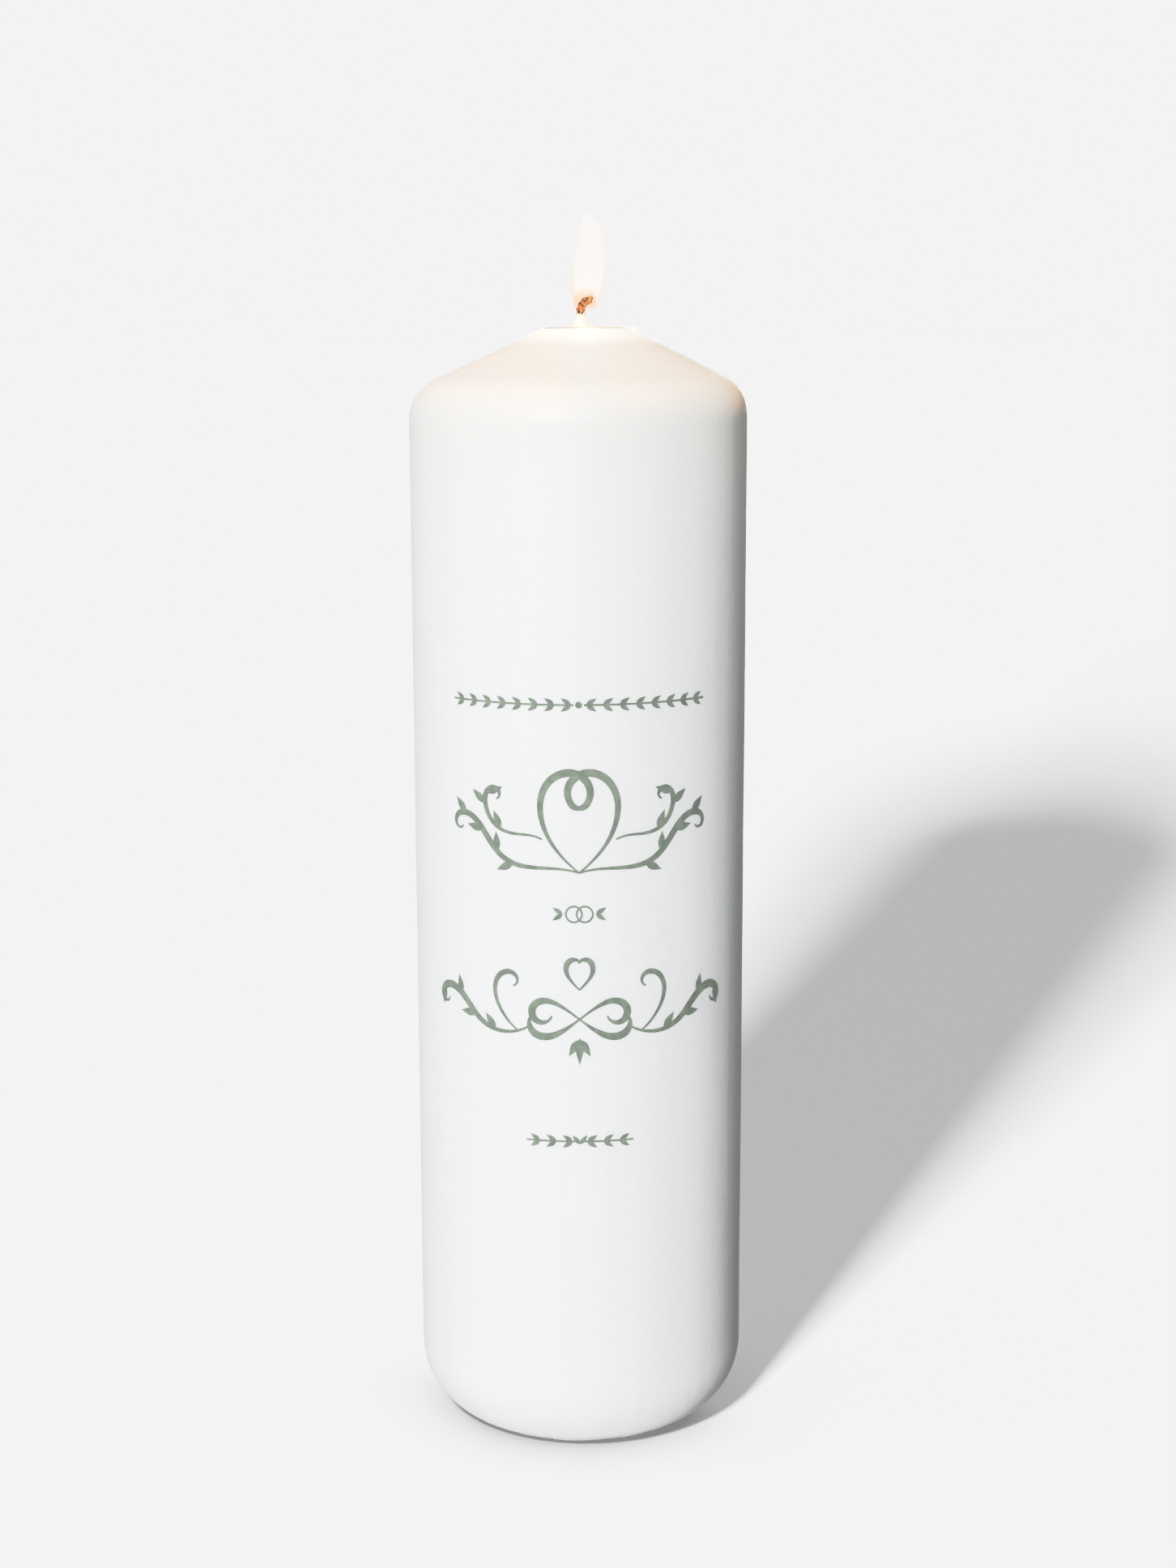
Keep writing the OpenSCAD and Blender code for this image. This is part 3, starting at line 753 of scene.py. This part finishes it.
def wick_pieces():
    """The braid runs from the tab to the neck, and its charred end goes on round the curl, thinner and rougher."""
    pitch = 5.2 * MM
    low, whole = WICK_LOW.z, lambda s: np.ones_like(s)
    strands = braid(low, NECK_Z, 1500, WICK_R * 0.97, pitch, whole)
    threads = core_thread(low, NECK_Z, 60, WICK_R * 0.62, whole)
    wick = skin("braided_wick", strands + threads, waxed_cotton(), caps=True)
    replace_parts(wick, "wick")

    end = NECK_Z + CURL_LENGTH + 0.3 * MM

    def burnt(s):
        """The share of the thickness left along the charred end, less at its tip and a little knotty."""
        along = (s - NECK_Z) / (end - NECK_Z)
        return 1.16 - 0.10 * smooth(0.0, 0.6, along) - 0.30 * smooth(0.93, 1.0, along) + 0.03 * np.sin(along * 23)

    strands = braid(NECK_Z - 0.25 * MM, end, 160, CHAR_R, pitch * 0.8, burnt)
    threads = core_thread(NECK_Z - 0.25 * MM, end, 60, CHAR_R * 0.82, burnt)
    tip = skin("charred_wick_end", strands + threads, charred_cotton(), caps=True)
    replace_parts(tip, "wick_tip")


def flame_shell(inset, drop, stop):
    """One skin of the flame. Half its width at a share s of the flame's height is half the full width times
    sin(pi s^0.85)^0.38, less the inset. Its middle line leans to the right by a slow cubic, and the tip is drawn
    back to the left."""
    height = FLAME_HIGH.z - FLAME_LOW.z
    half = (FLAME_HIGH.y - FLAME_LOW.y) / 2
    s = np.linspace(drop, stop, 90)
    width = np.maximum(half * np.sin(np.pi * s ** 0.85) ** 0.38 - inset, 0.02 * MM)
    middle = GAP_X + 0.25 * MM + 0.95 * MM * smooth(0.0, 0.8, s) - 0.6 * MM * smooth(0.8, 1.0, s)
    profile = np.stack([width, FLAME_LOW.z + s * height], axis=1)
    return revolve(profile, 96, centre_x=middle)


def flame_heart_shell():
    """A thin egg behind the charred end: an ellipse turned about the vertical, pressed flat in depth."""
    t = np.linspace(0.02, 0.98, 40) * math.pi
    profile = np.stack([3.1 * MM * np.sin(t), GAP_Z - 3.5 * MM * np.cos(t)], axis=1)
    egg = revolve(profile, 64, centre_x=GAP_X)
    egg[..., 1] = 1.75 * MM + egg[..., 1] * 0.25
    return egg


def flame_pieces():
    """The flame as nested skins of glowing gas: a faint halo, the white body, and the peach heart by the wick."""
    skin("flame_halo", [flame_shell(0.0, 0.004, 0.998)], halo_gas(), caps=True)
    body = skin("flame_body", [flame_shell(0.8 * MM, 0.03, 0.985)], body_gas(), caps=True)
    skin("flame_heart", [flame_heart_shell()], heart_gas(), caps=True)
    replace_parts(body, "flame")


def dress_cad_nodes():
    """The tab and the prints keep their CAD shape and get their finishes."""
    ink, steel = print_ink(), tinned_steel()
    for name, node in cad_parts.items():
        finish = steel if name == "wick_tab" else ink
        if not node.hide_render:
            node.data.materials.clear()
            node.data.materials.append(finish)


# ================= studio =================

def studio_floor():
    """A plain pale floor, far larger than the view. The candle isn't lit by it: the sky's lower half stands in for
    its bounce, so that the light on the candle stays even round the foot. Round the foot it carries a painted
    contact shadow, weaker on the side where the candle's own shadow lies."""
    reach = 40.0
    mesh = bpy.data.meshes.new("studio_floor")
    corners = [(-reach, -reach, 0), (reach, -reach, 0), (reach, reach, 0), (-reach, reach, 0)]
    mesh.from_pydata(corners, [], [(0, 1, 2, 3)])
    floor = bpy.data.objects.new("studio_floor", mesh)
    bpy.context.scene.collection.objects.link(floor)
    paper = Finish("plain paper floor", Roughness=1.0, Specular_IOR_Level=0.0, Emission_Strength=1.0)
    x, y, z = paper.parts(paper.place())
    radius = (x ** 2 + y ** 2) ** 0.5
    # painted contact shadow round the foot
    near = ((radius - SHADE_FROM) * (-1 / SHADE_REACH)).math("EXPONENT") * SHADE
    behind = ((x * SHADOW_X + y * SHADOW_Y) / radius).rise(-0.35, 0.15)
    dimmed = (1 - near * (1 - behind * SHADE_EASED)).top(SHADE_LEAST)
    grey = paper.mix(dimmed, BLACK, (FLOOR_TONE, FLOOR_TONE, FLOOR_TONE, 1.0))
    glow = paper.mix(dimmed, BLACK, (FLOOR_GLOW, FLOOR_GLOW, FLOOR_GLOW, 1.0))
    mesh.materials.append(paper.set(Base_Color=grey, Emission_Color=glow))
    floor.visible_diffuse = False
    floor.visible_glossy = False
    return floor


def graph(tree):
    """Empties a light's or the world's tree, and returns a call that adds a node with its settings and inputs."""
    tree.nodes.clear()

    def add(kind, settings=None, inputs=None):
        node = tree.nodes.new(kind)
        for name, value in (settings or {}).items():
            setattr(node, name, value)
        for name, value in (inputs or {}).items():
            if isinstance(value, bpy.types.NodeSocket):
                tree.links.new(value, node.inputs[name])
            else:
                node.inputs[name].default_value = value
        return node.outputs[0] if node.outputs else node
    return add


def lamp(name, kind, receivers, **settings):
    """A light that reaches only the given objects."""
    data = bpy.data.lights.new(name, kind)
    for key, value in settings.items():
        setattr(data, key, value)
    light = bpy.data.objects.new(name, data)
    bpy.context.scene.collection.objects.link(light)
    reached = bpy.data.collections.new(name + " reaches")
    for receiver in receivers:
        reached.objects.link(receiver)
    light.light_linking.receiver_collection = reached
    return light


def floor_light(floor):
    """A close light, front left, that throws the candle's long shadow. It is made to light the floor evenly: its
    strength doesn't fall off with distance, and grows as 1 / cosine towards the horizon."""
    light = lamp("floor key", "POINT", [floor], energy=FLOOR_KEY, shadow_soft_size=FLOOR_KEY_SIZE, use_nodes=True)
    light.location = FLOOR_KEY_PLACE
    add = graph(light.data.node_tree)
    steady = light.data.node_tree.nodes.new("ShaderNodeLightFalloff").outputs["Constant"]
    place = light.data.node_tree.nodes.new("ShaderNodeTexCoord").outputs["Normal"]
    split = light.data.node_tree.nodes.new("ShaderNodeSeparateXYZ")
    light.data.node_tree.links.new(place, split.inputs[0])
    drop = add("ShaderNodeMath", {"operation": "ABSOLUTE"}, {0: split.outputs["Z"]})
    least = add("ShaderNodeMath", {"operation": "MAXIMUM"}, {0: drop, 1: 0.002})
    share = add("ShaderNodeMath", {"operation": "DIVIDE"}, {0: steady, 1: least})
    add("ShaderNodeOutputLight", {}, {"Surface": add("ShaderNodeEmission", {}, {"Strength": share})})


def candle_light(pieces):
    """A softbox from the front left, a weaker fill from behind, a small light high on the right, and the flame's
    own warm light."""
    key = lamp("candle key", "SUN", pieces, energy=CANDLE_KEY, angle=math.radians(12))
    level = math.cos(CANDLE_KEY_RISE)
    from_here = Vector((level * math.sin(CANDLE_KEY_TURN), -level * math.cos(CANDLE_KEY_TURN),
                        math.sin(CANDLE_KEY_RISE)))
    key.rotation_euler = from_here.to_track_quat("Z", "Y").to_euler()
    fill = lamp("back fill", "SUN", pieces, energy=BACK_FILL, angle=math.radians(20))
    fill.rotation_euler = Vector(BACK_FILL_FROM).to_track_quat("Z", "Y").to_euler()
    kicker = lamp("right kicker", "POINT", pieces, energy=KICKER, shadow_soft_size=0.03)
    kicker.location = KICKER_PLACE
    glow = lamp("flame light", "POINT", pieces, energy=FLAME_LIGHT, shadow_soft_size=0.004, color=(1.0, 0.72, 0.45))
    glow.location = ((FLAME_LOW.x + FLAME_HIGH.x) / 2, 0, FLAME_LOW.z + 0.45 * (FLAME_HIGH.z - FLAME_LOW.z))


def sky_light():
    """An even sky with a darker right side, and a bright patch straight below for the light that the floor sends
    back. The camera sees it in the floor's own tone, so there is no horizon."""
    world = bpy.data.worlds.new("even sky")
    bpy.context.scene.world = world
    world.use_nodes = True
    add = graph(world.node_tree)
    place = world.node_tree.nodes.new("ShaderNodeTexCoord").outputs["Generated"]
    toward = world.node_tree.nodes.new("ShaderNodeVectorMath")
    toward.operation = "DOT_PRODUCT"
    toward.inputs[1].default_value = SKY_DARK_SIDE
    world.node_tree.links.new(place, toward.inputs[0])
    fade = world.node_tree.nodes.new("ShaderNodeMapRange")
    fade.interpolation_type = "SMOOTHSTEP"
    for socket, value in (("From Min", -0.9), ("From Max", 0.8), ("To Min", SKY * 1.7), ("To Max", SKY * 0.6)):
        fade.inputs[socket].default_value = value
    world.node_tree.links.new(toward.outputs["Value"], fade.inputs["Value"])
    down = world.node_tree.nodes.new("ShaderNodeVectorMath")
    down.operation = "DOT_PRODUCT"
    down.inputs[1].default_value = (0, 0, -1)
    world.node_tree.links.new(place, down.inputs[0])
    bounce = add("ShaderNodeMapRange", {"interpolation_type": "SMOOTHSTEP"}, {
        "Value": down.outputs["Value"], "From Min": 0.7, "From Max": 0.98, "To Min": 0.0, "To Max": BOUNCE})
    strength = add("ShaderNodeMath", {"operation": "ADD"}, {0: fade.outputs[0], 1: bounce})
    sky = add("ShaderNodeBackground", {}, {"Color": WHITE, "Strength": strength})
    seen = add("ShaderNodeBackground", {}, {"Color": WHITE, "Strength": BACKDROP})
    ray = add("ShaderNodeLightPath")
    mix = add("ShaderNodeMixShader", {}, {0: ray, 1: sky, 2: seen})
    add("ShaderNodeOutputWorld", {}, {"Surface": mix})


def print_tone():
    """The studio's tone curve: a soft toe, a steep middle and a long shoulder up to white."""
    view = bpy.context.scene.view_settings
    view.view_transform = "Standard"
    view.use_curve_mapping = True
    mapping = view.curve_mapping
    mapping.white_level = (TONE_WHITE, TONE_WHITE, TONE_WHITE)
    curve = mapping.curves[3]
    while len(curve.points) > 2:
        curve.points.remove(curve.points[1])
    curve.points[0].location = (0, 0)
    curve.points[-1].location = (1, 1)
    for scene_light, shown in TONE:
        curve.points.new(scene_light / TONE_WHITE, shown)
    mapping.update()


def camera():
    """Level with the rim, a little over half a metre in front, looking slightly down."""
    data = bpy.data.cameras.new("front_camera")
    data.sensor_fit = "VERTICAL"
    data.sensor_height = 36.0
    data.sensor_width = 36.0
    data.lens = LENS
    data.clip_end = 200
    view = bpy.data.objects.new("front_camera", data)
    view.location = CAMERA_PLACE
    view.rotation_euler = CAMERA_TURN
    bpy.context.scene.collection.objects.link(view)
    bpy.context.scene.camera = view


camera()
dip_coat()
pressed_core()
melted_pool()
wick_pieces()
flame_pieces()
dress_cad_nodes()
candle = [thing for thing in bpy.context.scene.objects if thing.type == "MESH" and not thing.hide_render]
floor_light(studio_floor())
candle_light(candle)
sky_light()
print_tone()
